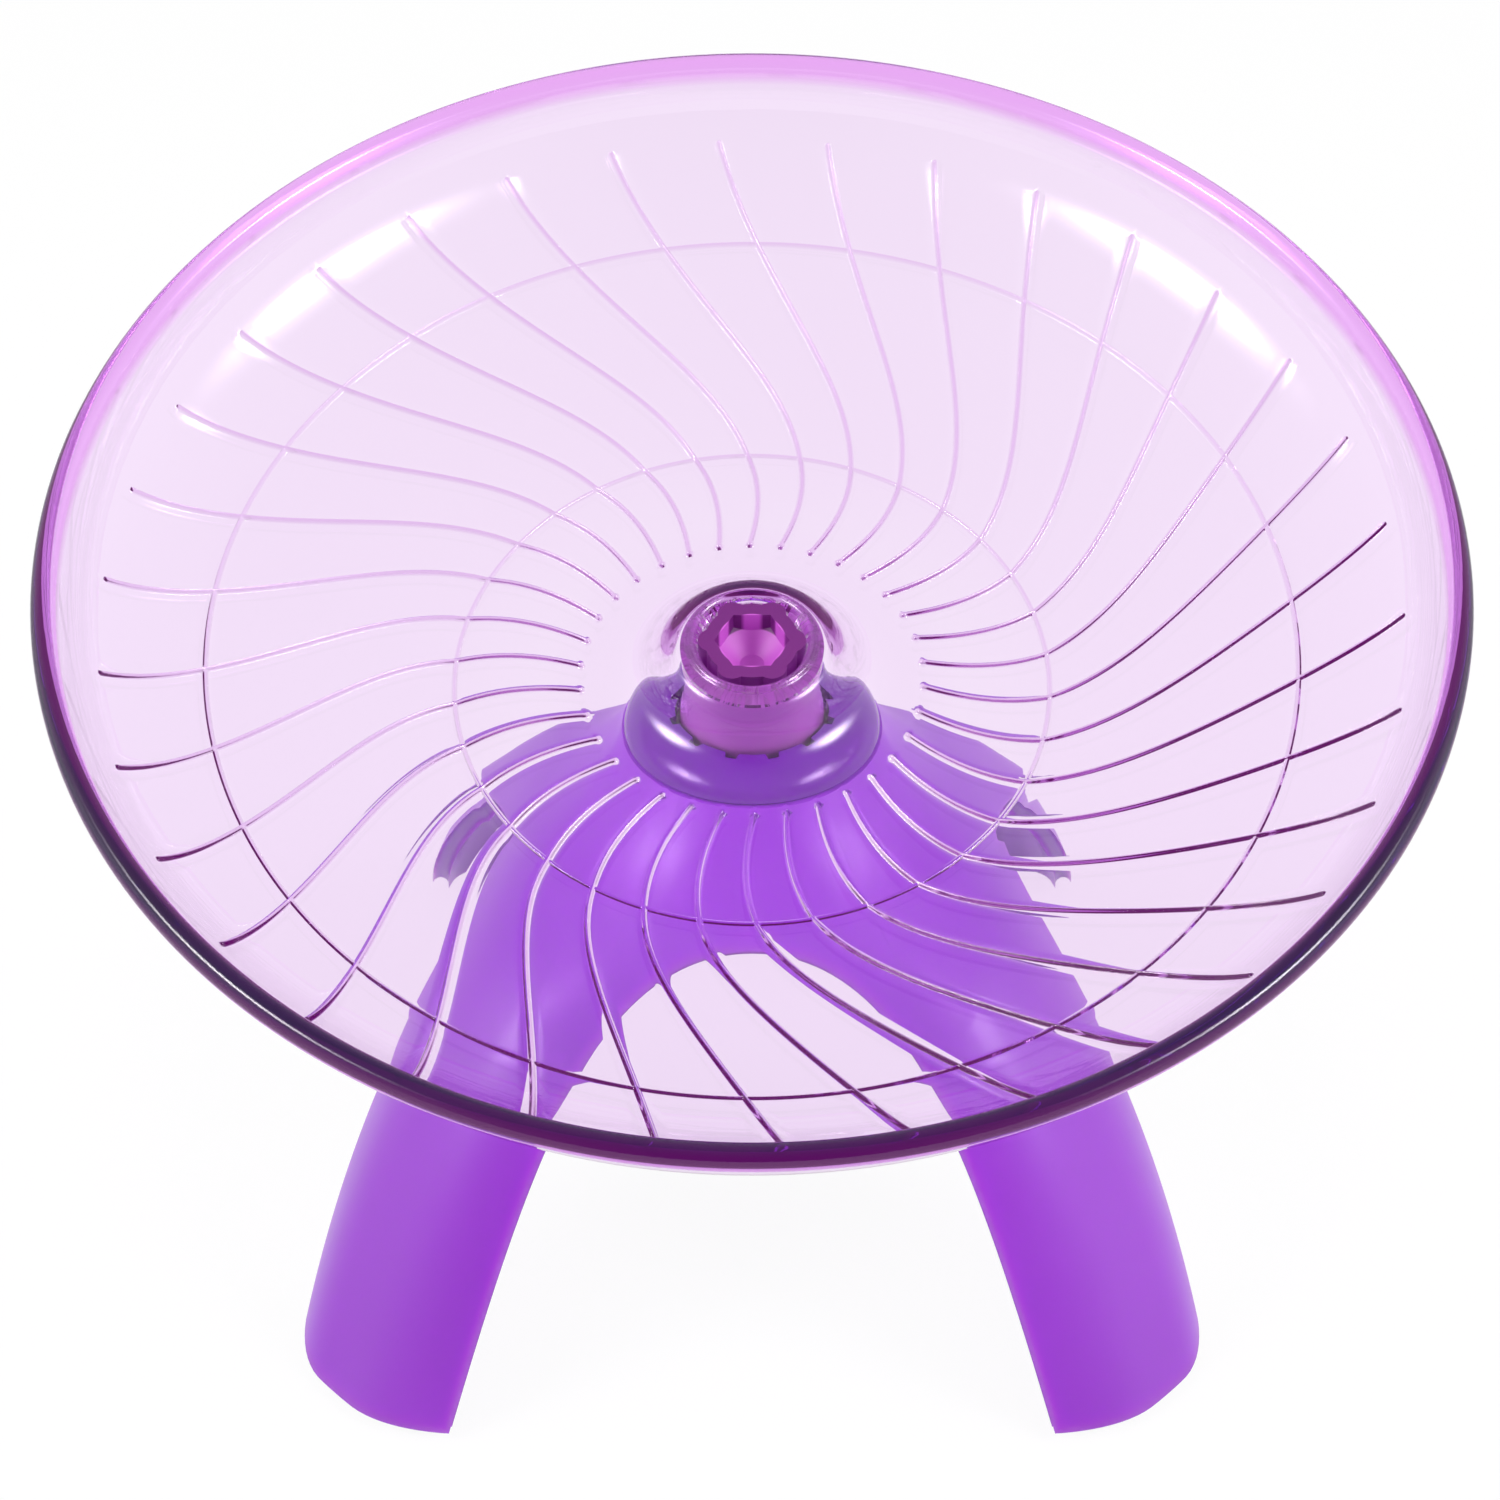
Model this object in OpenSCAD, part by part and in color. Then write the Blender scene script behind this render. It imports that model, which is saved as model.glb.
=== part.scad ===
// Saucer running wheel for hamsters: a clear tilted dish that spins on a four-legged stand.
// The dish turns on a lobed spindle carried by a ball bearing under the domed collar.
// Origin: on the ground under the middle of the whole outline. +X is to the right,
// +Y is to the back, and the dish leans down to the front.

/* [Placement] */
// Lean of the dish towards the front, in degrees
tilt = 15; // [8:1:22]
// Height of the dish floor over the ground, on the spindle's axis
hub_height = 80; // [76:1:100]

/* [Dish] */
// Outer diameter of the dish
dish_d = 180; // [160:1:220]
// Height of the rim's top over the dish floor
rim_height = 27.7; // [22:0.1:36]
// Thickness of the thick band along the rim
rim_w = 3.2; // [2.6:0.1:4.5]
// Height of the band along the rim
rim_depth = 3.5; // [3.2:0.1:7]
// Thickness of the dish wall
dish_wall = 1.8; // [1.4:0.1:2.4]
// Radius of the small ring rib on the floor
small_ring_r = 38.9; // [32:0.1:45]
// Radius of the large ring rib on the slope
large_ring_r = 70.2; // [60:0.1:74]
// Height of the slope's lower handle over the floor
slope_low = 5.7; // [3:0.1:9]
// Height of the slope's upper handle over the floor
slope_high = 10.4; // [8:0.1:14]
// Step up from the floor at the small ring to the floor by the hub
floor_step = 0.7; // [0.2:0.1:1.2]

/* [Grip ribs] */
// Number of curved grip ribs
rib_count = 34; // [20:1:40]
// Width of a rib
rib_w = 0.8; // [0.6:0.1:1.2]
// Height of a rib over the dish surface
rib_h = 0.55; // [0.3:0.05:0.9]
// Radius of the round dot at each end of a rib
rib_end_r = 0.55; // [0.5:0.05:0.9]
// Radius where a rib starts, by the hub
rib_in_r = 22.5; // [20:0.1:26]
// Radius where a rib ends, by the rim
rib_out_r = 82.5; // [78:0.1:83]
// Turn of a rib's inner end against its outer end, in degrees
rib_swirl = 23.6; // [10:0.1:30]
// Turn of the whole pattern, in degrees
rib_phase = 3.2; // [-5:0.1:5]

/* [Hub] */
// Radius where the bell over the collar meets the floor
bell_r = 21.2; // [20:0.1:21.8]
// Height of the bell over the floor
bell_h = 8; // [6:0.1:10]
// Outer radius of the hub sleeve
sleeve_r = 9.2; // [8.9:0.05:9.4]
// Outer radius of the sleeve at its top lip
sleeve_lip_r = 8.4; // [8.2:0.05:8.8]
// Height of the sleeve's lip over the bell
lip_h = 0.6; // [0.3:0.1:2]
// Depth of the sleeve below the dish floor
sleeve_drop = 12; // [10:0.1:12.5]

/* [Spindle] */
// Radius over the lobes of the spindle
lobe_tip_r = 7; // [6.6:0.1:7.2]
// Number of lobes
lobe_count = 6; // [5:1:8]
// Radius of one lobe
lobe_r = 1.9; // [1.5:0.1:2.2]
// Distance across the corners of the hexagon socket
socket_d = 9.7; // [8:0.1:10]
// Depth of the hexagon socket
socket_depth = 5; // [3:0.1:8]
// Thickness of the flange that the sleeve stands on
flange_t = 1; // [0.8:0.1:1.4]
// Length of the shoulder between the flange and the bearing
shoulder_l = 1; // [0.8:0.1:1.6]

/* [Bearing] */
// Bore of the ball bearing
bearing_bore = 8; // [7:0.5:9]
// Outer diameter of the ball bearing
bearing_d = 22; // [21.5:0.1:23]
// Width of the ball bearing
bearing_w = 7; // [6:0.5:8]
// Diameter of a ball
ball_d = 3.97; // [3.2:0.01:4]
// Number of balls
ball_count = 7; // [5:1:7]

/* [Collar] */
// Radius of the domed collar
collar_r = 17; // [16:0.1:18]
// Height of the dome over the crown of the stand
collar_h = 6.5; // [5:0.1:7]
// Distance from the dish floor down to the crown, along the vertical
crown_drop = 10.5; // [10:0.1:12]
// Number of notches round the collar's mouth
notch_count = 12; // [6:1:16]

/* [Stand] */
// Thickness of the stand's wall
stand_wall = 2.6; // [2:0.1:3.5]
// Distance from the collar's axis to the front face, at the ground
foot_front = 63.5; // [55:0.5:70]
// Distance from the collar's axis to the rear face, at the ground
foot_rear = 57.2; // [50:0.5:65]
// Distance from the middle plane to a side face, at the ground
foot_side = 55.3; // [50:0.1:62]
// Radius of the round corners' outline, at the ground
foot_corner = 76.5; // [72:0.5:84]
// Turn of each side face towards the rear, in degrees
side_taper = 7; // [0:0.5:9]
// Lean of the round corners' axis towards the front, in degrees
corner_lean = 3; // [0:0.5:5]

/* [Arches] */
// Height of the front arch
front_arch_h = 54.2; // [48:0.2:56]
// Half width of the front arch, at the ground
front_arch_w = 38.8; // [32:0.2:42]
// Height of the rear arch
rear_arch_h = 50; // [40:0.5:54]
// Half width of the rear arch, at the ground
rear_arch_w = 36; // [30:0.5:40]
// Height of the side arches
side_arch_h = 48; // [38:0.5:50]
// Half width of the side arches, at the ground
side_arch_w = 45; // [38:0.5:46]
// Shift of the side arches to the rear of the dish's axis
side_arch_shift = 6; // [0:0.5:9]

/* [Hidden] */
$fn = 96;
eps = 0.01;
// Running clearance of round fits
fit = 0.03;
// Clearance between the turning parts and the stand's parts
gap = 0.55;
// Steps of a curved outline
steps = 9;
// Longer than any cut needs to be
reach = 300;

// Radius and heights of the two roundings of the rim's band
rim_half = rim_w / 2;
rim_r = dish_d / 2 - rim_half;
rim_high = rim_height - rim_half;
rim_low = rim_height - rim_depth + rim_half;
// The tilted rim shifts the outline forward, so the spindle stands back by as much
axis_y = (rim_high + rim_low) / 2 * sin(tilt);

// Reach of the slope's and the bell's handles
slope_reach_low = 21.1;
slope_reach_high = 2.9;
bell_reach_low = 9.7;
bell_reach_high = 8;
// Reach of a rib's handles, at its inner and outer end
rib_reach_in = [15.4, 19.4];
rib_reach_out = [9.2, -28.1];
// How far one body of plastic runs into the next inside a moulding
bite = 0.5;

// Radius of the sleeve's bore, which grips the tips of the lobes
sleeve_bore_r = lobe_tip_r + fit;
sleeve_top = bell_h + lip_h;
flange_top = -sleeve_drop;
bearing_top = flange_top - flange_t - shoulder_l;
bearing_bottom = bearing_top - bearing_w;
flange_r = sleeve_r - 0.4;
lobe_core_r = lobe_tip_r - 0.9;
spindle_top = sleeve_top - 0.4;
journal_r = bearing_bore / 2 - fit;
// The journal stops short of the washer, so that the washer clamps the inner race
spindle_lift = 0.3;

bearing_r = bearing_d / 2;
pitch_r = (bearing_bore + bearing_d) / 4;
ball_r = ball_d / 2;
groove_r = ball_r + 0.05;
inner_land_r = pitch_r - 1.35;
outer_land_r = pitch_r + 1.9;
shoulder_r = inner_land_r - 0.4;
// Thickness, inset and groove of a shield
shield_t = 0.3;
shield_inset = 0.2;
shield_bite = 0.4;
cage_w = 1.4;

spigot_in_r = sleeve_r + gap;
// Width and depth of a notch, and how far up the spigot the notches start
notch_w = 1.6;
notch_depth = 0.9;
spigot_floor = 2;
cup_r = bearing_r + fit;
cup_wall = 2.4;
lip_t = 1.5;
cup_bottom = bearing_bottom - lip_t;

crown_z = hub_height - crown_drop;
// The spindle's axis meets the crown this far behind the dish's middle
collar_y = axis_y + crown_drop * tan(tilt);
crown_r = collar_r + 0.3;
// The stand is drawn this far below the ground, then cut off level
below = 12;
// Handles of the stand's four outlines
front_bend = [0.235, 0.754, 0.312, 0.934];
rear_bend = [0.05, 0.741, 0.673, 0.509];
side_bend = [0.08, 0.889, 0.771, 0.667];
corner_bend = [0.249, 0.671, 0.4, 0.95];
// Handles of the arches
end_arch_bend = [0.49, 0.69, 0.68];
side_arch_bend = [0.34, 0.42, 0.68];

washer_t = 1;
washer_r = 5.6;
washer_gap = 0.2;
screw_head_r = 3.9;
screw_head_h = 2.4;
screw_r = 1.95;
screw_l = 11;
slot_w = 0.9;

// A point on a cubic curve with the end points a and d and the handles b and c
function curve(a, b, c, d, t) =
    pow(1 - t, 3) * a + 3 * t * pow(1 - t, 2) * b + 3 * t * t * (1 - t) * c + pow(t, 3) * d;

// The direction of the same curve, as a unit vector
function heading(a, b, c, d, t) =
    let (v = pow(1 - t, 2) * (b - a) + 2 * t * (1 - t) * (c - b) + t * t * (d - c)) v / norm(v);

// The curve as points, moved to its left by side
function path(a, b, c, d, side = 0, n = steps) = [for (i = [0:n])
    let (t = i / n, h = heading(a, b, c, d, t)) curve(a, b, c, d, t) + side * [-h[1], h[0]]];

function reversed(list) = [for (i = [len(list) - 1:-1:0]) list[i]];

// Puts children on the spindle's axis, with zero height at the dish floor
module on_axis() {
    translate([0, axis_y, hub_height]) rotate([tilt, 0, 0]) children();
}

// A ring between two radii, from one height up to another
module ring(r_in, r_out, low, high) {
    rotate_extrude() translate([r_in, low]) square([r_out - r_in, high - low]);
}

// The slope of the dish, from the small ring up to the rim
slope = [[small_ring_r, 0], [small_ring_r + slope_reach_low, slope_low],
    [rim_r - slope_reach_high, slope_high], [rim_r - rim_half + bite / 2, rim_low]];

// The bell, from the floor up to the sleeve
bell = [[bell_r, floor_step], [bell_r - bell_reach_low, floor_step / 2],
    [bell_r - bell_reach_high, bell_h + floor_step / 2], [sleeve_r - bite, bell_h]];

// The top of the dish as a line of points, moved up by rise
function dish_top(rise) = concat([[rib_in_r - rib_w, floor_step + rise]],
    path(slope[0], slope[1], slope[2], slope[3], rise));

module dish_outline() {
    polygon(concat([[bell_r, floor_step]], path(slope[0], slope[1], slope[2], slope[3]),
        reversed(path(slope[0], slope[1], slope[2], slope[3], -dish_wall)),
        [[bell_r, floor_step - dish_wall]]));
    polygon(concat(path(bell[0], bell[1], bell[2], bell[3]),
        reversed(path(bell[0], bell[1], bell[2], bell[3], dish_wall))));
    // Sleeve with a thin lip and a lead-in for the lobes
    polygon([[sleeve_bore_r, -sleeve_drop], [sleeve_r, -sleeve_drop], [sleeve_r, bell_h],
        [sleeve_lip_r, sleeve_top], [sleeve_lip_r - bite, sleeve_top],
        [sleeve_bore_r, sleeve_top - 2 * lip_h]]);
    translate([rim_r, rim_high]) circle(rim_half);
    translate([rim_r, rim_low]) circle(rim_half);
    translate([rim_r - rim_half, rim_low]) square([rim_w, rim_high - rim_low]);
    for (r = [small_ring_r, large_ring_r])
        translate([r, lookup(r, path(slope[0], slope[1], slope[2], slope[3]))]) circle(rib_w / 2);
}

// Handles of a rib's plan, for an outer end on the +Y axis
rib_start = rib_in_r * [sin(rib_swirl), cos(rib_swirl)];
rib_plan = [rib_start, rib_start + rib_reach_in, [0, rib_out_r] + rib_reach_out, [0, rib_out_r]];

module rib_flat() {
    polygon(concat(path(rib_plan[0], rib_plan[1], rib_plan[2], rib_plan[3], rib_w / 2),
        reversed(path(rib_plan[0], rib_plan[1], rib_plan[2], rib_plan[3], -rib_w / 2))));
    translate(rib_plan[0]) circle(rib_end_r);
    translate(rib_plan[3]) circle(rib_end_r);
}

module grip_ribs() {
    intersection() {
        rotate_extrude() polygon(concat(dish_top(rib_h), reversed(dish_top(-dish_wall / 2))));
        for (i = [0:rib_count - 1])
            rotate([0, 0, rib_phase - i * 360 / rib_count])
                translate([0, 0, -dish_wall]) linear_extrude(rim_height + dish_wall) rib_flat();
    }
}

module dish() {
    color([0.93, 0.80, 0.98, 0.45]) on_axis() {
        rotate_extrude() dish_outline();
        grip_ribs();
    }
}

// Cross-section of the lobed barrel
module lobed() {
    circle(lobe_core_r);
    for (i = [0:lobe_count - 1])
        rotate([0, 0, i * 360 / lobe_count]) translate([lobe_tip_r - lobe_r, 0]) circle(lobe_r);
}

module spindle() {
    color([0.55, 0.10, 0.60]) on_axis() difference() {
        union() {
            translate([0, 0, flange_top]) linear_extrude(spindle_top - flange_top) lobed();
            translate([0, 0, flange_top - flange_t]) cylinder(r = flange_r, h = flange_t);
            translate([0, 0, bearing_top]) cylinder(r = shoulder_r, h = shoulder_l + eps);
            translate([0, 0, bearing_bottom + spindle_lift])
                cylinder(r = journal_r, h = bearing_w - spindle_lift + eps);
        }
        // Hexagon socket with a cone for its floor
        intersection() {
            translate([0, 0, spindle_top - socket_depth])
                cylinder(r = socket_d / 2, h = socket_depth + 1, $fn = 6);
            translate([0, 0, spindle_top - socket_depth])
                cylinder(r1 = socket_d / 6, r2 = socket_d, h = socket_depth + 1);
        }
        translate([0, 0, bearing_bottom]) cylinder(r = screw_r + fit, h = screw_l + spindle_lift);
    }
}

module spindle_screw() {
    top = bearing_bottom - washer_t;
    color("silver") on_axis() difference() {
        union() {
            translate([0, 0, top - screw_head_h / 2]) cylinder(r = screw_head_r, h = screw_head_h / 2);
            translate([0, 0, top - screw_head_h])
                cylinder(r1 = screw_head_r - 1, r2 = screw_head_r, h = screw_head_h / 2);
            translate([0, 0, top - eps]) cylinder(r = screw_r, h = screw_l + washer_t);
        }
        for (turn = [0, 90])
            translate([0, 0, top - screw_head_h]) rotate([0, 0, turn])
                cube([screw_head_r, slot_w, screw_head_h], center = true);
    }
}

module spindle_washer() {
    color("gainsboro") on_axis()
        ring(screw_r + washer_gap, washer_r, bearing_bottom - washer_t, bearing_bottom);
}

// The groove that the balls run in
module groove() {
    translate([0, 0, bearing_top - bearing_w / 2])
        rotate_extrude() translate([pitch_r, 0]) circle(groove_r, $fn = 48);
}

module bearing_inner_race() {
    color("lightsteelblue") on_axis() difference() {
        ring(bearing_bore / 2, inner_land_r, bearing_bottom, bearing_top);
        groove();
    }
}

module bearing_outer_race() {
    color("lightsteelblue") on_axis() difference() {
        ring(outer_land_r, bearing_r, bearing_bottom, bearing_top);
        groove();
        for (z = [bearing_bottom + shield_inset, bearing_top - shield_inset - shield_t])
            ring(outer_land_r - shield_bite, outer_land_r + shield_bite, z, z + shield_t);
    }
}

module bearing_balls() {
    color("white") on_axis()
        for (i = [0:ball_count - 1])
            rotate([0, 0, i * 360 / ball_count])
                translate([pitch_r, 0, bearing_top - bearing_w / 2]) sphere(ball_r, $fn = 32);
}

module bearing_cage() {
    middle = bearing_top - bearing_w / 2;
    color("khaki") on_axis() difference() {
        ring(pitch_r - cage_w / 2, pitch_r + cage_w / 2, middle - groove_r - bite, middle + ball_r / 2);
        for (i = [0:ball_count - 1])
            rotate([0, 0, i * 360 / ball_count])
                translate([pitch_r, 0, middle]) sphere(groove_r, $fn = 32);
    }
}

module shield(low) {
    on_axis() ring(inner_land_r + shield_inset, outer_land_r + shield_bite - fit, low, low + shield_t);
}

module bearing_shield_upper() {
    color("dimgray") shield(bearing_top - shield_inset - shield_t);
}

module bearing_shield_lower() {
    color("dimgray") shield(bearing_bottom + shield_inset);
}

module collar() {
    color([0.48, 0.08, 0.80]) difference() {
        union() {
            translate([0, collar_y, crown_z]) rotate_extrude() polygon(concat([[0, 0]],
                [for (a = [0:6:90]) [collar_r * cos(a), collar_h * sin(a)]]));
            on_axis() ring(spigot_in_r, bearing_r, bearing_top, -crown_drop / 2);
        }
        on_axis() {
            translate([0, 0, bearing_top - 1]) cylinder(r = spigot_in_r, h = reach);
            for (i = [0:notch_count - 1])
                rotate([0, 0, (i + 0.5) * 360 / notch_count])
                    translate([0, -notch_w / 2, bearing_top + spigot_floor])
                        cube([spigot_in_r + notch_depth, notch_w, reach]);
        }
    }
}

// One side of the stand's outline, from the crown down to the ground. The bend holds
// the two handles: shares of the way out to the foot, and shares of the crown's height.
function flank(foot_r, bend, inset) = path([crown_r, crown_z],
    [crown_r + bend[0] * (foot_r - crown_r), bend[1] * crown_z],
    [crown_r + bend[2] * (foot_r - crown_r), bend[3] * crown_z], [foot_r, 0], -inset);

// A flank with its foot carried on below the ground
function skirt(list) = concat(list, [[list[len(list) - 1][0], -below]]);

module front_and_rear(inset) {
    front = skirt(flank(foot_front, front_bend, inset));
    rear = skirt(flank(foot_rear, rear_bend, inset));
    rotate([90, 0, 90]) linear_extrude(reach, center = true)
        polygon(concat([for (p = reversed(front)) [-p[0], p[1]]], rear));
}

module side_face(inset) {
    side = skirt(flank(foot_side, side_bend, inset));
    rotate([0, 0, side_taper]) rotate([90, 0, 0]) linear_extrude(reach, center = true)
        polygon(concat([[-reach / 2, -below], [-reach / 2, side[0][1]]], side));
}

module corners(inset) {
    edge = skirt(flank(foot_corner, corner_bend, inset));
    translate([0, 0, crown_z]) rotate([-corner_lean, 0, 0]) translate([0, 0, -crown_z])
        rotate_extrude() polygon(concat([[0, -below], [0, edge[0][1]]], edge));
}

// The stand as a closed bell, drawn in by inset
module stand_bell(inset) {
    translate([0, collar_y, 0]) intersection() {
        front_and_rear(inset);
        side_face(inset);
        mirror([1, 0, 0]) side_face(inset);
        corners(inset);
        translate([-reach / 2, -reach / 2, -below]) cube([reach, reach, below + crown_z - inset]);
    }
}

// An arch standing on the X axis. The bend holds its handles: shares of the
// half width and, last, a share of the height.
module arch(top, half, bend) {
    side = concat(path([0, top], [bend[0] * half, top], [bend[1] * half, bend[2] * top], [half, 0]),
        [[half, -below]]);
    polygon(concat(side, [for (p = reversed(side)) [-p[0], p[1]]]));
}

// The four openings between the legs
module arches() {
    translate([0, collar_y, 0]) rotate([90, 0, 0]) linear_extrude(reach / 2)
        arch(front_arch_h, front_arch_w, end_arch_bend);
    translate([0, collar_y, 0]) mirror([0, 1, 0]) rotate([90, 0, 0]) linear_extrude(reach / 2)
        arch(rear_arch_h, rear_arch_w, end_arch_bend);
    translate([0, axis_y + side_arch_shift, 0]) rotate([90, 0, 90]) linear_extrude(reach, center = true)
        arch(side_arch_h, side_arch_w, side_arch_bend);
}

module stand() {
    color([0.60, 0.27, 0.86]) difference() {
        union() {
            difference() {
                stand_bell(0);
                stand_bell(stand_wall);
                arches();
                translate([-reach / 2, -reach / 2, -reach]) cube([reach, reach, reach]);
            }
            // Cup that holds the bearing, cut off level with the crown
            intersection() {
                on_axis() translate([0, 0, cup_bottom]) cylinder(r = cup_r + cup_wall, h = crown_z);
                translate([-reach / 2, -reach / 2, 0]) cube([reach, reach, crown_z]);
            }
        }
        on_axis() {
            translate([0, 0, bearing_bottom]) cylinder(r = cup_r, h = reach);
            translate([0, 0, cup_bottom - 1]) cylinder(r = outer_land_r - shield_bite, h = reach);
        }
    }
}

dish();
spindle();
spindle_screw();
spindle_washer();
bearing_inner_race();
bearing_outer_race();
bearing_balls();
bearing_cage();
bearing_shield_upper();
bearing_shield_lower();
collar();
stand();
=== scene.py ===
import math

import bmesh
import bpy
import numpy as np
from mathutils import Matrix, Vector


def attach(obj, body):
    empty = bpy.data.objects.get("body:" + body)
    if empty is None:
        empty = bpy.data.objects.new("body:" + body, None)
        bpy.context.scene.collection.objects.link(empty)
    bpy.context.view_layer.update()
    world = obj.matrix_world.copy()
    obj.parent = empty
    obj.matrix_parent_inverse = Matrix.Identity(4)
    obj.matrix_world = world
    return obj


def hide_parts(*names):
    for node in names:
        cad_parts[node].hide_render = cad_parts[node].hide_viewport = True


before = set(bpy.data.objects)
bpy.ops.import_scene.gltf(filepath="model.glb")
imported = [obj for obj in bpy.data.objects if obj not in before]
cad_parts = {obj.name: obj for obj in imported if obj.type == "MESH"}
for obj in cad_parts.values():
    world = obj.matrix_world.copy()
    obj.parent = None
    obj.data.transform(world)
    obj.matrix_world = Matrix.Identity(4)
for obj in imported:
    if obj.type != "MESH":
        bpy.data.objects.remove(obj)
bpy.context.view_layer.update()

# Lengths are in millimetres, as in the CAD source, and MM turns them into metres. A profile is a list of (radius,
# height), and a curve is given by the four handles of a cubic.
MM = 0.001

# Placement: the spindle's axis leans to the front
TILT = math.radians(15)
HUB_HEIGHT = 80

# Dish: rim, slope from the small ring to the rim, and floor
DISH_R = 90
WALL = 1.8
RIM_HEIGHT = 27.7
RIM_BAND = 3.5
RIM_HALF = 1.6
RIM_R = DISH_R - RIM_HALF
RIM_HIGH = RIM_HEIGHT - RIM_HALF
RIM_LOW = RIM_HEIGHT - RIM_BAND + RIM_HALF
FLOOR_STEP = 0.7
SMALL_RING_R = 38.9
LARGE_RING_R = 70.2
RING_HALF_W = 0.4
RING_H = 0.4
SLOPE = [(SMALL_RING_R, 0), (60, 5.7), (RIM_R - 2.9, 10.4), (RIM_R - RIM_HALF + 0.25, RIM_LOW)]
SLOPE_END = 0.985

# Sleeve and its lip, and the bell from the lip down to the floor
SLEEVE_BORE_R = 7.03
SLEEVE_R = 9.2
SLEEVE_DROP = 12
SLEEVE_TOP = 8.6
SLEEVE_JOIN = 5.7
SLEEVE_EDGE = 0.4
SLEEVE = [
    (SLEEVE_BORE_R, SLEEVE_EDGE - SLEEVE_DROP),
    (SLEEVE_BORE_R + SLEEVE_EDGE, -SLEEVE_DROP),
    (SLEEVE_R - SLEEVE_EDGE, -SLEEVE_DROP),
    (SLEEVE_R, SLEEVE_EDGE - SLEEVE_DROP),
    (SLEEVE_R, -SLEEVE_DROP / 2),
    (SLEEVE_R, 0),
    (SLEEVE_R, SLEEVE_JOIN),
    (SLEEVE_BORE_R, SLEEVE_JOIN),
    (SLEEVE_BORE_R, 0),
]
LIP = [
    (SLEEVE_BORE_R, SLEEVE_JOIN), (SLEEVE_BORE_R, 6.5), (SLEEVE_BORE_R, 7.4), (7.4, 8.1), (7.75, 8.5),
    (8.05, SLEEVE_TOP), (8.3, 8.52), (8.5, 8.3), (8.7, 8.08), (8.95, 8.0),
]
BELL_R = 21.2
BELL_TOP_R = 9.3
BELL = [(BELL_R, FLOOR_STEP), (BELL_R - 9.7, 0.35), (BELL_R - 8, 8.35), (8.7, 8)]
BELL_FOOT = (BELL_R + 6, FLOOR_STEP - WALL)
UNDER_END = 0.93

# Grip ribs, each with a dot at its inner end
RIB_COUNT = 34
RIB_PITCH = 2 * math.pi / RIB_COUNT
RIB_HALF_W = 0.45
RIB_H = 0.55
DOT_R = 0.65
DOT_H = 0.6
RIB_IN_R = 22.5
RIB_OUT_R = 82.5
RIB_PHASE = math.radians(3.2)
RIB_SWIRL = math.radians(23.6)
RIB_IN = np.array([RIB_IN_R * math.sin(RIB_SWIRL), RIB_IN_R * math.cos(RIB_SWIRL)])
RIB_OUT = np.array([0, RIB_OUT_R])
RIB_PLAN = [RIB_IN, RIB_IN + (15.4, 19.4), RIB_OUT + (9.2, -28.1), RIB_OUT]

# Grid of the dish's skin. RIDGES are (radius, half width), and rows across a ridge and columns across a rib lie at
# shares of its half width. Other rows are ROW_STEP apart, and stay ROW_GAP away from a ridge.
RIDGES = [(SMALL_RING_R, RING_HALF_W), (LARGE_RING_R, RING_HALF_W), (RIB_IN_R, DOT_R), (RIB_OUT_R, RIB_HALF_W)]
RIDGE_ROWS = np.array([-1.25, -0.9, -0.6, -0.3, 0, 0.3, 0.6, 0.9, 1.25])
RIB_COLUMNS = np.array([-1.15, -0.85, -0.55, -0.27, 0, 0.27, 0.55, 0.85, 1.15])
GAP_COLUMNS = 7
OFF_RIB = 2.0
ROW_STEP = 1.5
ROW_GAP = 0.5
SLOPE_POINTS = 400
PLAN_POINTS = 500

# A ridge's section is a cosine to this power
BUMP_ROUND = 1.3

# The rim's band of colour: its width, and the height over which it fades in
BAND_W = 2.5
BAND_FADE = 1.2

# Places that follow from these: the collar stands upright on the crown, where the tilted axis meets it
AXIS_Y = (RIM_HIGH + RIM_LOW) / 2 * math.sin(TILT)
CROWN_DROP = 10.5
CROWN_Z = HUB_HEIGHT - CROWN_DROP
COLLAR_Y = AXIS_Y + CROWN_DROP * math.tan(TILT)
ON_AXIS = Matrix.Translation((0, AXIS_Y * MM, HUB_HEIGHT * MM)) @ Matrix.Rotation(TILT, 4, "X")

# Collar: its dome, the notched mouth, and the spigot that holds the bearing down
COLLAR_R = 17
COLLAR_H = 6.5
COLLAR_EDGE = 0.25
COLLAR_FOOT = 0.3
DOME_TIP_R = 0.01
SPIGOT_IN_R = 9.75
SPIGOT_TOP = -8.5
BEARING_TOP = -14
BEARING_R = 11
SPIGOT = [(SPIGOT_IN_R, BEARING_TOP), (BEARING_R, BEARING_TOP), (BEARING_R, SPIGOT_TOP), (SPIGOT_IN_R, SPIGOT_TOP)]
NOTCH_COUNT = 12
NOTCH_W = 1.6
NOTCH_DEPTH = 0.9
NOTCH_STEPS = 20
MOUTH_CUT = (-30, 20)

# Stand. Each flank: how far out from the collar's axis its foot stands, and the curve's two middle handles as shares
# of the way out and of the crown's height. Each arch: its height, its half width, and its handles as shares of these.
STAND_WALL = 2.6
CROWN_R = 17.3
CROWN_EDGE = 0.8
CROWN_HOLE_R = 12.5
FLANKS = {
    "front": (63.5, (0.235, 0.754, 0.312, 0.934)),
    "rear": (57.2, (0.05, 0.741, 0.673, 0.509)),
    "side": (55.3, (0.08, 0.889, 0.771, 0.667)),
    "corner": (76.5, (0.249, 0.671, 0.4, 0.95)),
}
SIDE_TAPER = math.radians(7)
CORNER_LEAN = math.radians(3)
CORNER_BLEND = 7
BLEND_RUN = 25
FRONT_ARCH = (54.2, 38.8, (0.49, 0.69, 0.68))
REAR_ARCH = (50, 36, (0.49, 0.69, 0.68))
SIDE_ARCH = (48, 45, (0.34, 0.42, 0.68))
SIDE_ARCH_SHIFT = 6
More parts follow.
